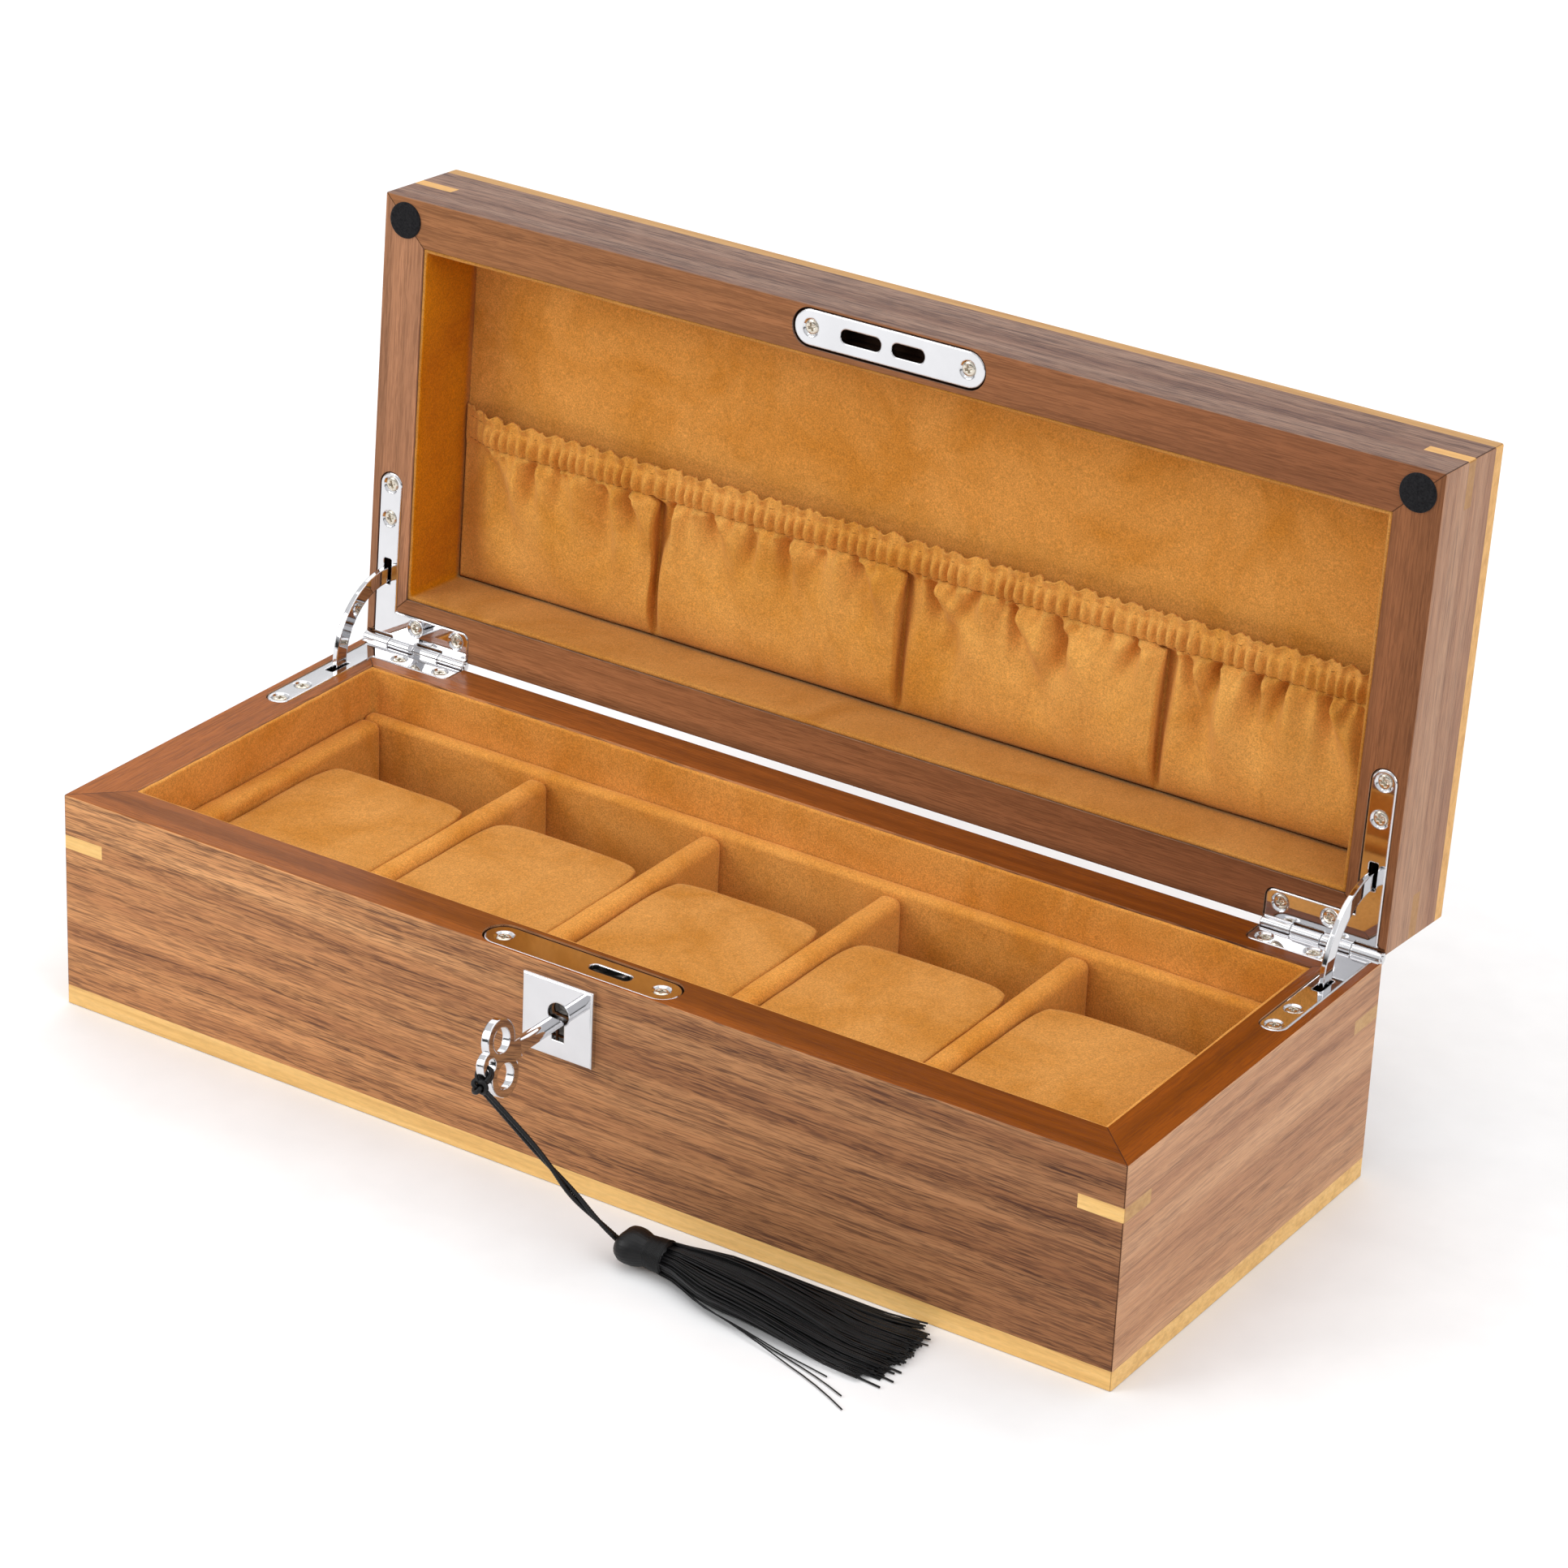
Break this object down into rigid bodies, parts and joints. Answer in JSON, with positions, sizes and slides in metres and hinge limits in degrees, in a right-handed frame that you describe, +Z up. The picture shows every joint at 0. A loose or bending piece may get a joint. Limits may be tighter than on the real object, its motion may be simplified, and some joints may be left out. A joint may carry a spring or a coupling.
{
  "type": "watch box",
  "caption": "Rectangular walnut watch box with maple corner keys, stay-hinged lid standing open, suede tray of cushions, gathered lid pocket, and lock with key and tassel.",
  "frame": {"origin": "centre of the underside of the base", "axes": "+X along the box's length to the right, -Y out of the front with the keyhole, +Z up"},
  "size_m": [0.33, 0.2117, 0.196],
  "materials": {
    "walnut": "satin lacquer, grain along the length",
    "maple": "satin lacquer",
    "plywood": "bare",
    "baize": "napped",
    "suede": "napped suede",
    "chrome": "mirror polished",
    "nickel": "polished",
    "lock_steel": "plain",
    "felt": "felt",
    "black_silk": "silk thread"
  },
  "bodies": {
    "base": {"base_front_panel": "walnut", "base_back_panel": "walnut", "base_left_panel": "walnut", "base_right_panel": "walnut", "base_maple_edging": "maple", "base_corner_splines": "maple", "base_board": "plywood", "tray_floor": "plywood", "base_baize": "baize", "base_lining": "suede", "tray_front_rail": "suede", "tray_back_rail": "suede", "tray_end_rails": "suede", "tray_divider_1": "suede", "tray_divider_2": "suede", "tray_divider_3": "suede", "tray_divider_4": "suede", "lock_plate": "chrome", "escutcheon": "chrome", "hinge_right_base_leaf": "chrome", "hinge_left_base_leaf": "chrome", "hinge_pins": "chrome", "hinge_base_screws": "nickel", "lock_screws": "nickel", "lock_case": "lock_steel", "lock_pivot": "lock_steel"},
    "lid": {"lid_front_panel": "walnut", "lid_back_panel": "walnut", "lid_left_panel": "walnut", "lid_right_panel": "walnut", "lid_top_panel": "walnut", "lid_maple_edging": "maple", "lid_corner_splines": "maple", "lid_wall_lining": "suede", "lid_back_lining": "suede", "lid_pocket_front": "suede", "lid_pocket_casing": "suede", "lid_pocket_seams": "suede", "lid_felt_bumpers": "felt", "strike_plate": "chrome", "strike_screws": "nickel", "hinge_right_lid_leaf": "chrome", "hinge_left_lid_leaf": "chrome", "hinge_lid_screws": "nickel"},
    "stay_left": {"stay_left": "chrome"},
    "stay_right": {"stay_right": "chrome"},
    "lock_drum": {"lock_drum": "lock_steel"},
    "lock_hook": {"lock_hook": "lock_steel"},
    "key": {"key": "chrome", "key_cord_knot": "black_silk"},
    "tassel": {"key_cord": "black_silk", "tassel_head": "black_silk", "tassel_skirt": "black_silk"},
    "cushion_1": {"cushion_1": "suede"},
    "cushion_2": {"cushion_2": "suede"},
    "cushion_3": {"cushion_3": "suede"},
    "cushion_4": {"cushion_4": "suede"},
    "cushion_5": {"cushion_5": "suede"}
  },
  "joints": [
    {"name": "lid_hinge", "type": "hinge", "parent": "base", "child": "lid", "pos_m": [0, 0.0669, 0.0634], "axis": [-1, 0, 0], "range_deg": [-93.4, 0]},
    {"name": "stay_left_swing", "type": "hinge", "parent": "base", "child": "stay_left", "pos_m": [0, 0.0669, 0.0634], "axis": [-1, 0, 0], "range_deg": [-46.7, 0]},
    {"name": "stay_right_swing", "type": "hinge", "parent": "base", "child": "stay_right", "pos_m": [0, 0.0669, 0.0634], "axis": [-1, 0, 0], "range_deg": [-46.7, 0]},
    {"name": "key_turn", "type": "hinge", "parent": "base", "child": "lock_drum", "pos_m": [0, -0.0624, 0.0493], "axis": [0, 1, 0], "range_deg": [0, 100]},
    {"name": "hook_swing", "type": "hinge", "parent": "base", "child": "lock_hook", "pos_m": [-0.0005, -0.0595, 0.056], "axis": [0, -1, 0], "range_deg": [0, 75]},
    {"name": "key_withdraw", "type": "slide", "parent": "lock_drum", "child": "key", "axis": [0, -1, 0], "range_m": [0, 0.03]},
    {"name": "tassel_hang", "type": "hinge", "parent": "key", "child": "tassel", "pos_m": [0, -0.0995, 0.0493], "axis": [0, 1, 0], "range_deg": [-100, 0]},
    {"name": "cushion_1_lift", "type": "slide", "parent": "base", "child": "cushion_1", "axis": [0, 0, 1], "range_m": [0, 0.06]},
    {"name": "cushion_2_lift", "type": "slide", "parent": "base", "child": "cushion_2", "axis": [0, 0, 1], "range_m": [0, 0.06]},
    {"name": "cushion_3_lift", "type": "slide", "parent": "base", "child": "cushion_3", "axis": [0, 0, 1], "range_m": [0, 0.06]},
    {"name": "cushion_4_lift", "type": "slide", "parent": "base", "child": "cushion_4", "axis": [0, 0, 1], "range_m": [0, 0.06]},
    {"name": "cushion_5_lift", "type": "slide", "parent": "base", "child": "cushion_5", "axis": [0, 0, 1], "range_m": [0, 0.06]}
  ],
  "couplings": [
    {"joint": "stay_left_swing", "follows": "lid_hinge", "ratio": 0.5},
    {"joint": "stay_right_swing", "follows": "lid_hinge", "ratio": 0.5},
    {"joint": "hook_swing", "follows": "key_turn", "ratio": 0.75},
    {"joint": "tassel_hang", "follows": "key_turn", "ratio": -1}
  ]
}
